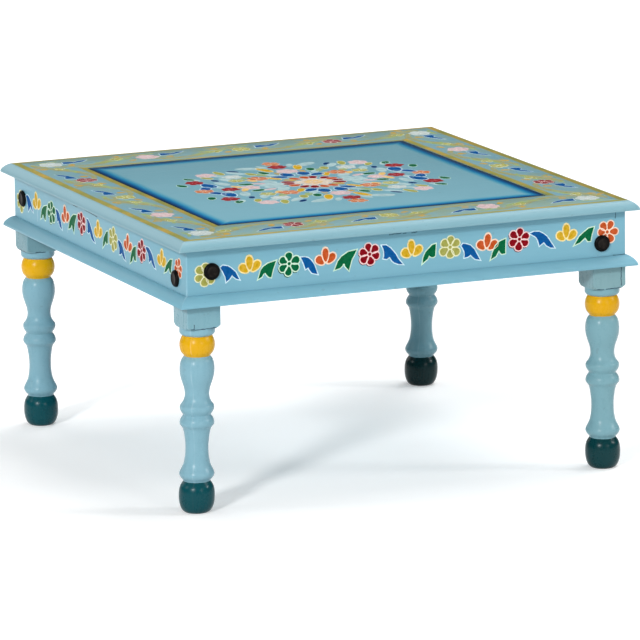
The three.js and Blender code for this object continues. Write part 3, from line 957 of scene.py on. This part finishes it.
# Pools of the leaves on an apron board, as outlines in millimetres from its middle and the floor.
LEAVES = [
    ("blue", [(-283, 346), (-280, 341), (-276, 332.5), (-275, 326.5), (-271, 329.5), (-266.5, 335.5),
              (-265, 333), (-260, 329), (-257, 328), (-262, 337.5), (-268.5, 343.5), (-273, 346.5),
              (-280, 348)]),
    ("blue", [(-162.5, 349), (-159, 341), (-156.5, 333.5), (-152.5, 335.5), (-150.5, 331.5), (-147, 327),
              (-140, 325), (-144, 336.5), (-148.5, 343.5), (-153, 347.5), (-158, 349)]),
    ("blue", [(-40.5, 355), (-38.5, 351), (-37.5, 346.5), (-37.5, 340), (-38.5, 337.5), (-34.5, 336.5),
              (-29.5, 339.5), (-25.5, 333), (-22.5, 330.5), (-16.5, 328), (-11, 327), (-17.5, 334.5),
              (-21, 341), (-29, 350.5), (-35.5, 355)]),
    ("blue", [(80.5, 344.5), (83, 340.5), (85, 336), (85.5, 331), (85, 328), (89, 328.5), (94, 331.5),
              (97, 328), (101, 324.5), (107, 323), (99, 337.5), (93, 343.5), (86, 346), (82.5, 346.5)]),
    ("blue", [(186.5, 352.5), (193, 349), (196, 346.5), (198.5, 342), (200.5, 335), (207, 339.5),
              (211.5, 334), (217.5, 330.5), (222, 330), (211, 346), (205, 350.5), (199.5, 353.5),
              (191.5, 354)]),
    ("green", [(-213, 345), (-220, 341), (-223.5, 336.5), (-227, 326), (-223, 328), (-219.5, 334),
               (-217.5, 335), (-214.5, 330), (-211.5, 327), (-209, 326.5), (-206, 337.5), (-202, 347.5)]),
    ("green", [(-92.5, 350.5), (-102, 345), (-107.5, 339), (-112, 328.5), (-105.5, 330), (-102.5, 332.5),
               (-99.5, 337), (-97.5, 337), (-97, 332), (-92, 326.5), (-88, 340), (-84.5, 345.5),
               (-81, 352)]),
    ("green", [(35.5, 349), (25.5, 340), (22, 332.5), (20.5, 325.5), (27.5, 331), (30, 336), (34.5, 333),
               (37, 333), (39, 334.5), (40, 350)]),
    ("green", [(139, 345), (133, 339.5), (128.5, 331), (125.5, 322), (132, 325.5), (137.5, 334.5),
               (140, 330), (142, 328), (146.5, 328.5), (146.5, 335.5), (147, 347.5)]),
    ("green", [(277, 351.5), (269.5, 346.5), (262.5, 341), (255, 330.5), (262.5, 333.5), (271.5, 340.5),
               (275.5, 334.5), (279, 334.5), (280.5, 342), (284, 352.5)]),
]
# The leaf that is used on the top as well, with its tip, tail and prong.
FULL_LEAF, FULL_ENDS = LEAVES[8][1], ((147, 347.5), (125.5, 322), (146.5, 328.5))
hand = random.Random(17)


def unsteady(amount):
    return hand.uniform(-amount, amount)


def daub_paint(name, shown, gloss, level):
    """Thick enamel that has pooled a little unevenly, with the marks of a small brush."""
    paint, tree = new_paint(name)
    colour = srgb(*shown)
    pooling = step_between(tree, noise(tree, 170.0, 3.0), 0.42, 0.66)
    pooled = blend_colours(tree, pooling, colour, toned(tree, colour, 1.05, 0.8))
    return enamel(paint, pooled, (150, 150, 150), level, gloss=gloss, relief=0.05 * MM)


def wash_paint(name, shown):
    """Thin paint over the light blue ground."""
    paint, tree = new_paint(name)
    thin = step_between(tree, noise(tree, 95.0, 5.0), 0.42, 0.68)
    mixed = blend_colours(tree, thin, srgb(*shown), srgb(128, 168, 176), 0.55)
    return enamel(paint, mixed, (150, 150, 150), 0.15, gloss=0.35, relief=0.05 * MM)


def egg(start, end, width, points=12, swell=0.2):
    """The outline of a petal whose narrow end points at the origin."""
    middle, half = (start + end) / 2, (end - start) / 2
    outline = []
    for index in range(points):
        turn = 2 * math.pi * index / points
        side = width / 2 * math.sin(turn) * (1 + swell * math.cos(turn))
        outline.append((middle + half * math.cos(turn), side))
    return outline


def widened(outline, by):
    """An outline moved out by the width of a bead. Its sharp tips are drawn out a little."""
    wide = []
    for index, spot in enumerate(outline):
        here = Vector(spot)
        along = (here - Vector(outline[index - 1])).normalized()
        along += (Vector(outline[(index + 1) % len(outline)]) - here).normalized()
        out = Vector((along.y, -along.x)).normalized()
        wide.append(here + out * by * min(2 / along.length, TIP_REACH))
    return wide


patterns = []


def daub_pattern(name, pool, bead=BEAD_WIDTH):
    """A pool of colour inside a bead, in the flat. The pool's outline is in millimetres."""
    outline = widened(pool, bead / MM)
    only()
    bpy.ops.mesh.primitive_circle_add(vertices=len(outline), radius=MM, fill_type="NGON")
    daub = bpy.context.object
    daub.name = name
    for vertex, (across, up) in zip(daub.data.vertices, outline):
        vertex.co = (across * MM, up * MM, 0)
    edit_all(daub)
    bpy.ops.mesh.extrude_region_move(TRANSFORM_OT_translate={"value": (0, 0, BEAD_FOOT)})
    bpy.ops.mesh.inset(thickness=bead * 0.45, depth=BEAD_RISE)
    bpy.ops.mesh.inset(thickness=bead * 0.55, depth=-POOL_DROP)
    bpy.ops.object.mode_set(mode="OBJECT")
    for face in daub.data.polygons:
        face.material_index = int(face.select)
    edit_all(daub)
    bpy.ops.mesh.normals_make_consistent(inside=False)
    bpy.ops.object.mode_set(mode="OBJECT")
    patterns.append(daub)
    return daub


# The daubs laid so far in the border in hand: the middle, the reach and the layer of each.
laid = []


def next_layer(daub):
    """The first layer over all the daubs that a new one may touch."""
    spots = [vertex.co.xy for vertex in daub.data.vertices]
    middle = sum(spots, Vector((0, 0))) / len(spots)
    reach = max((spot - middle).length for spot in spots)
    under = [layer for spot, far, layer in laid if (spot - middle).length < far + reach]
    laid.append((middle, reach, max(under, default=-1) + 1))
    return laid[-1][2]


def dab(pattern, coat, shape, lift=0.0):
    """A copy of a pattern in a coat's two paints, a hair higher than the daubs under it.

    Lift raises it further.
    """
    daub = own_copy(pattern, "daub", shape)
    if shape.determinant() < 0:
        daub.data.flip_normals()
    lift += next_layer(daub) * LAYER
    for vertex in daub.data.vertices:
        if vertex.co.z > 0:
            vertex.co.z += lift
    for paint in COAT_PAINTS[coat]:
        daub.data.materials.append(paint)
    return daub


def lay(pattern, coat, spot, turn=0.0, size=(1, 1), lift=0.0, depth=1.0):
    """Lays a daub at a spot in millimetres, stretched by size and then turned in degrees."""
    place = Matrix.Translation((spot[0] * MM, spot[1] * MM, 0))
    place @= Matrix.Rotation(math.radians(turn), 4, "Z") @ Matrix.Diagonal((*size, depth, 1))
    return dab(pattern, coat, place, lift)


def leaf(pattern, coat, *new_ends):
    """The full leaf, stretched so that its tip, tail and prong come to new places."""
    old_tip, old_tail, old_prong = [Vector(end) for end in FULL_ENDS]
    tip, tail, prong = [Vector(end) for end in new_ends]
    old = Matrix((old_tail - old_tip, old_prong - old_tip)).transposed()
    stretch = Matrix((tail - tip, prong - tip)).transposed() @ old.inverted()
    shift = (tip - stretch @ old_tip) * MM
    return dab(pattern, coat, Matrix.Translation((*shift, 0)) @ stretch.to_4x4())


def flower(pattern, coat, spot, reach, turn=90.0, petals=6, lift=0.0):
    """Petals round a small heart. A darker first coat shows past the left of some of them."""
    size = reach / PETAL_REACH
    fullness = size * 6 / petals
    shapes = []
    for index in range(petals):
        angle = turn + 360 * index / petals + unsteady(5)
        shapes.append((angle, (size * (1 + unsteady(0.08)), fullness * (1 + unsteady(0.06)))))
    daubs = []
    if coat in FIRST_COAT:
        low = (spot[0] - 0.7 * size, spot[1] - 0.9 * size)
        daubs += [lay(pattern, FIRST_COAT[coat], low, *shape, depth=FIRST_COAT_DEPTH) for shape in shapes]
    daubs += [lay(pattern, coat, spot, *shape, lift=lift) for shape in shapes]
    daubs.append(lay(heart, coat, spot, turn, (size, size), lift + HEART_LIFT))
    return daubs


def bud(pattern, coat, foot, lean=0.0, size=1.0):
    """Two side petals and a longer one over them, opening from a common foot."""
    daubs = []
    for angle, long, wide, lift in ((138, 1.27, 1.2, 0), (49, 1.42, 1.12, 0), (91, 1.7, 1.02, PETAL_LIFT)):
        stretch = (size * long * (1 + unsteady(0.04)), size * wide * (1 + unsteady(0.05)))
        daubs.append(lay(pattern, coat, foot, angle + lean + unsteady(3), stretch, lift))
    return daubs


def gather(name, daubs, place, slot):
    """Joins the daubs of one border and puts them, in their mesh, on the board that carries them."""
    laid.clear()
    only(*daubs)
    bpy.ops.object.join()
    border = bpy.context.object
    border.name = name
    border.data.transform(place @ Matrix.Translation((0, 0, -PASTE_SINK)))
    smooth(border, 60)
    settle(border, [], slot)


COAT_PAINTS = {
    coat: (daub_paint(f"bead_{coat}", bead, 0.42, 0.2), daub_paint(f"pool_{coat}", pool, 0.3, 0.02))
    for coat, (pool, bead) in COATS.items()
}
for coat, colour in WASHES.items():
    wash = wash_paint(f"wash_{coat}", colour)
    COAT_PAINTS[coat] = (wash, wash)
petal = daub_pattern("petal_pattern", egg(3.4, 14.8, 8.9, swell=0.3))
heart = daub_pattern("heart_pattern", egg(-2.3, 2.3, 4.6, 8), HEART_BEAD)
leaf_patterns = [
    (coat, daub_pattern(f"leaf_pattern_{i}", widened(pool, LEAF_SPREAD)))
    for i, (coat, pool) in enumerate(LEAVES)
]

# Places along an apron board and up it, in millimetres from its middle and from the floor.
APRON_FLOWERS = [
    ("lime", (-307, 338), 16.8), ("green", (-181.5, 342.5), 17.3), ("red", (-60, 345), 17.3),
    ("lime", (62.5, 344), 17.3), ("red", (169, 346), 17.3),
]
# The orange flower at the right end, partly under a bolt cap, and its reach in front and elsewhere.
LAST_FLOWER = (305.7, 344.4)
LAST_REACHES = (16.6, 14.5)
APRON_BUDS = [
    ("yellow", (-240, 333.5), 0), ("orange", (-126.5, 334.5), 0), ("yellow", (4, 334), 0),
    ("orange", (117.5, 333), -8), ("yellow", (241.5, 336), -4),
]


def apron_border(side, quarter_turns, shake, last_reach):
    """The row of flowers on one side. Shake moves each motif a little, as no two rows are alike."""
    daubs = flower(petal, "orange", LAST_FLOWER, last_reach, 60 + unsteady(12))
    for coat, (across, up), reach in APRON_FLOWERS:
        spot = (across + unsteady(shake), up + unsteady(shake))
        daubs += flower(petal, coat, spot, reach, 90 + unsteady(12))
    for coat, (across, up), lean in APRON_BUDS:
        spot = (across + unsteady(shake), up + unsteady(shake))
        daubs += bud(petal, coat, spot, lean + unsteady(3 * shake))
    for coat, pattern in leaf_patterns:
        daubs.append(lay(pattern, coat, (unsteady(shake), unsteady(shake))))
    face = Matrix.Translation((0, -APRON_HALF, 0)) @ Matrix.Rotation(math.pi / 2, 4, "X")
    gather(f"apron_border_{side}", daubs, quarter_turn(quarter_turns) @ face, "apron_paint")


for turns, side in enumerate(SIDES):
    shake = 1.6 if turns else 0
    apron_border(side, turns, shake, LAST_REACHES[min(turns, 1)])


# Painted border of the top: flowers, lime buds and blue leaves on an ochre scroll, which swings
# between the two ochre lines four times on each side. The paste is drawn thinner here.
TOP_RELIEF = 0.5
# No stroke starts nearer than this to a mitre.
MITRE_ROOM = 24
# The middle of the scroll's stroke from one flower to the next, as places along the side and out
# from the middle of the table, with the stroke's width there, in millimetres.
SCROLL_SPINE = [
    (-108, 318, 5), (-98, 317, 9), (-84, 311, 12), (-68, 303, 12.5), (-54, 294, 12.5), (-42, 285, 12),
    (-28, 276, 10.5), (-10, 270, 9), (10, 268, 8), (28, 271, 7), (42, 280, 6), (50, 292, 6), (50, 306, 5),
]
COMMA_SPINE = [(0, 0, 1.6), (5, 2.6, 4.6), (11, 3.4, 5.2), (17, 1.6, 4), (21, -2.4, 1.6)]
# Each stroke's coat, its place ahead of a leaf and out from the middle, its turn, length and width.
COMMAS = [
    ("lime_wash", -84, 300, 12, 2.0, 1.1), ("lime_wash", -62, 287, 14, 1.8, 1.0),
    ("lime_wash", 26, 318, 8, 1.5, 1.0), ("tan", 62, 313, -8, 1.5, 1.5), ("tan", 36, 306, 4, 1.2, 1.5),
]
# Small ochre leaves on the scroll, given in the same way but for the coat.
SCROLL_LEAVES = [(12, 282, 60, 0.7, 1.1), (-68, 314, 62, 0.7, 1.1), (72, 278, 35, 0.8, 0.9)]
# Flowers by coat, place along the side and out from the middle, and reach. The rest by place.
TOP_FLOWERS = [
    ("white", -297, 292, 17.5), ("red", -155, 290, 15.5), ("lime", -8, 289, 14.5), ("pink", 142, 293, 17.5),
]
TOP_BUDS = [(-262, 293), (-115, 289), (33, 290), (188, 298)]
TOP_LEAVES = [(-198, 305), (-55, 302), (96, 304), (250, 302)]


def ribbon(spine):
    """The outline round a stroke, from the points of its middle with its width at each."""
    right, left = [], []
    for index, (across, up, width) in enumerate(spine):
        before = spine[max(index - 1, 0)]
        after = spine[min(index + 1, len(spine) - 1)]
        along = Vector((after[0] - before[0], after[1] - before[1])).normalized()
        right.append((across + along.y * width / 2, up - along.x * width / 2))
        left.append((across - along.y * width / 2, up + along.x * width / 2))
    return right + left[::-1]


scroll = daub_pattern("scroll_pattern", ribbon([(a, -out, w) for a, out, w in SCROLL_SPINE]), TOP_BEAD)
comma = daub_pattern("comma_pattern", ribbon(COMMA_SPINE), TOP_BEAD)
top_petal = daub_pattern("top_petal_pattern", egg(2.2, 15.2, 10.2, swell=0.3), TOP_BEAD)
top_full_leaf = daub_pattern("top_full_leaf_pattern", FULL_LEAF, TOP_BEAD)
blade = daub_pattern("blade_pattern", egg(-9.2, 9.2, 8.4), TOP_BEAD)


def flat_on(height):
    return Matrix.Translation((0, 0, height)) @ Matrix.Diagonal((1, 1, TOP_RELIEF, 1))


def top_border(side, quarter_turns):
    """The scroll of one side, with its strokes and leaves, and then the flowers and buds."""
    daubs = []
    for along, out in TOP_LEAVES:
        daubs.append(lay(scroll, "tan", (along, 0)))
        for coat, ahead, away, turn, long, wide in COMMAS:
            spot = (along + ahead + unsteady(2), unsteady(1.5) - away)
            if abs(spot[0]) < away - MITRE_ROOM:
                daubs.append(lay(comma, coat, spot, turn + unsteady(10), (long, wide)))
        for ahead, away, turn, long, wide in SCROLL_LEAVES:
            spot = (along + ahead + unsteady(2), unsteady(1.5) - away)
            daubs.append(lay(blade, "ochre", spot, turn + unsteady(10), (long, wide)))
        tip = (along + 22, 9 - out)
        tail = (along - 21 + unsteady(1), -10 - out)
        prong = (along + 19 + unsteady(1), -6 - out)
        daubs.append(leaf(top_full_leaf, "blue", tip, tail, prong))
    for coat, along, out, reach in TOP_FLOWERS:
        spot = (along + unsteady(2), unsteady(1) - out)
        # A corner flower also covers the end of the scroll of the next side.
        daubs += flower(top_petal, coat, spot, reach, unsteady(30), lift=PETAL_LIFT)
    for along, out in TOP_BUDS:
        daubs += bud(top_petal, "lime", (along + unsteady(2), -out - 6), unsteady(12), 0.62)
    place = quarter_turn(quarter_turns) @ flat_on(TABLE_TOP)
    gather(f"top_border_{side}", daubs, place, "frame_paint")


for turns, side in enumerate(SIDES):
    top_border(side, turns)


# Medallion: a large round bouquet in the middle of the panel, the same in each quarter but drawn
# by hand. A cream flower lies at its heart, in a ring of red and orange petals.
RING_COATS = ("red", "orange", "red", "red", "orange", "orange", "ochre", "red") * 2
# Each flower's coat, its place across and up from the middle, and its reach.
MEDALLION_FLOWERS = [
    ("pink", 0, 97, 17), ("crimson", 0, 134, 14.5), ("salmon", 0, 161, 14.5), ("pink", 120, 118, 15.5),
    ("white", 90, 90, 15), ("salmon", 62, 59, 16), ("pink", 98, 0, 14.5), ("crimson", 130, 0, 14),
    ("salmon", 168, 0, 14.5), ("lime", 96, 57, 12.5), ("crimson", 157, 70, 14.5), ("pale", 61, 0, 21),
]
# Each blade's coat, its place across and up from the middle, its length, width and turn.
MEDALLION_BLADES = [
    ("pale", 45, 138, 40, 20, 25), ("pale", 125, 44, 34, 16, 75), ("pale", 108, 72, 30, 14, 70),
    ("pale", 60, 32, 36, 18, 60), ("pale", 76, 114, 34, 14, 50), ("pale", 140, 22, 24, 12, 80),
    ("pale", 34, 76, 26, 12, 60), ("pale", 106, 102, 26, 12, 45), ("pale", 148, 92, 22, 10, 60),
    ("pale", 22, 140, 26, 10, 70), ("lime_wash", 78, 74, 28, 13, 60), ("lime_wash", 46, 84, 24, 12, 65),
    ("green", 36, 97, 23, 15, 70), ("yellow", 26, 118, 40, 14, 75), ("lime", 58, 97, 24, 14, 75),
    ("navy", 73, 127, 22, 11, 50), ("lime", 96, 124, 32, 13, 78), ("lime", 127, 97, 24, 12, 62),
    ("yellow", 42, 50, 28, 12, 62), ("green", 96, 25, 25, 15, 15), ("straw", 112, 13, 26, 11, 65),
    ("navy", 125, 71, 18, 11, 70), ("green", 155, 97, 22, 14, 60), ("green", 182, 54, 23, 14, 75),
    ("pink", 78, 24, 22, 11, 20), ("ochre", 20, 84, 20, 9, 75), ("straw", 76, 48, 20, 11, 60),
    ("blue", 147, 39, 39, 23, 82), ("blue", 159, 20, 29, 18, 115), ("blue", 13, 68, 31, 22, 80),
    ("blue", 29, 57, 28, 18, 38),
]


def medallion_quarter(flip_x, flip_y):
    """A quarter of the bouquet. What lies on an axis is drawn only for one of its two quarters."""
    def shaken(across, up):
        return flip_x * across + unsteady(1.5), flip_y * up + unsteady(1.5)

    daubs = []
    for coat, across, up, length, width, turn in MEDALLION_BLADES:
        spot, angle = shaken(across, up), turn * flip_x * flip_y
        daubs.append(lay(blade, coat, spot, angle + unsteady(8), (length / 20, width / 10)))
    for coat, across, up, reach in MEDALLION_FLOWERS:
        on_axis = (across == 0 and flip_x < 0) or (up == 0 and flip_y < 0)
        if not on_axis:
            daubs += flower(top_petal, coat, shaken(across, up), reach, unsteady(40))
    return daubs


ring_petal = daub_pattern("ring_petal_pattern", egg(27.5, 47, 12.8), TOP_BEAD)
daubs = []
for flip_x, flip_y in ((1, 1), (1, -1), (-1, 1), (-1, -1)):
    daubs += medallion_quarter(flip_x, flip_y)
for index, coat in enumerate(RING_COATS):
    turn = 360 * index / len(RING_COATS) + unsteady(3)
    daubs.append(lay(ring_petal, coat, (0, 0), turn))
daubs += flower(top_petal, "cream", (0, 0), 29, 0, 10)
daubs += flower(top_petal, "straw", (0, 0), 15, 0, 7)
gather("panel_medallion", daubs, flat_on(PANEL_TOP), "panel_paint")
for pattern in patterns:
    bpy.data.objects.remove(pattern)


# Floor, lights and air: a plain pale studio floor, and soft lamps from the front and the sides and
# from above. They are no part of the table.
FLOOR_WIDTH = 60
FLOOR_DROP = 0.1 * MM
# The brightness of the air, from the horizon (0) to straight above (1).
SKY_GLOW = [(0, 0.01), (0.25, 0.03), (0.5, 0.15), (1, 0.4)]

only()
bpy.ops.mesh.primitive_plane_add(size=FLOOR_WIDTH, location=(0, 0, -FLOOR_DROP))
floor = bpy.context.object
floor.name = "studio_floor"
floor_paint, floor_tree = new_paint("studio_floor_white")
rays = shader(floor_tree, "LightPath").outputs
seen = reckon(floor_tree, "MAXIMUM", rays["Is Camera Ray"], rays["Is Glossy Ray"])
seen = reckon(floor_tree, "MAXIMUM", seen, rays["Is Transmission Ray"])
feed(floor_tree, floor_tree.nodes["Principled BSDF"], {
    "Base Color": (0.86, 0.86, 0.86, 1),
    "Roughness": 0.9,
    "Specular IOR Level": 0.0,
    "Emission Color": (1, 1, 1, 1),
    "Emission Strength": reckon(floor_tree, "MULTIPLY", seen, 0.3),
})
floor.data.materials.append(floor_paint)

world = bpy.data.worlds.new("studio_air")
bpy.context.scene.world = world
world.use_nodes = True
air = world.node_tree
up = shader(air, "SeparateXYZ", {0: shader(air, "TexCoord").outputs["Generated"]}).outputs[2]
glow = ramp(air, up, [(share, (level, level, level, 1)) for share, level in SKY_GLOW])
feed(air, air.nodes["Background"], {"Color": glow, "Strength": 1.0})
# Each lamp's azimuth, counted to the right of the camera, its elevation, strength and width.
LAMPS = {
    "key_lamp": (-25, 25, 2.02, 9),
    "right_lamp": (88, 29, 0.75, 12),
    "front_right_lamp": (33, 19, 0.38, 12),
    "left_lamp": (-80, 30, 0.22, 12),
    "back_left_lamp": (-142, 26, 0.45, 40),
    "overhead_lamp": (135, 64, 1.44, 38),
}
for name, (azimuth, elevation, strength, width) in LAMPS.items():
    bpy.ops.object.light_add(type="SUN")
    sun = bpy.context.object
    sun.name = name
    heading = math.radians(azimuth + 270) - CAMERA_YAW
    rise = math.radians(elevation)
    flat_share = math.cos(rise)
    towards = Vector((math.cos(heading) * flat_share, math.sin(heading) * flat_share, math.sin(rise)))
    sun.rotation_euler = towards.to_track_quat("Z", "Y").to_euler()
    sun.data.energy = strength
    sun.data.angle = math.radians(width)
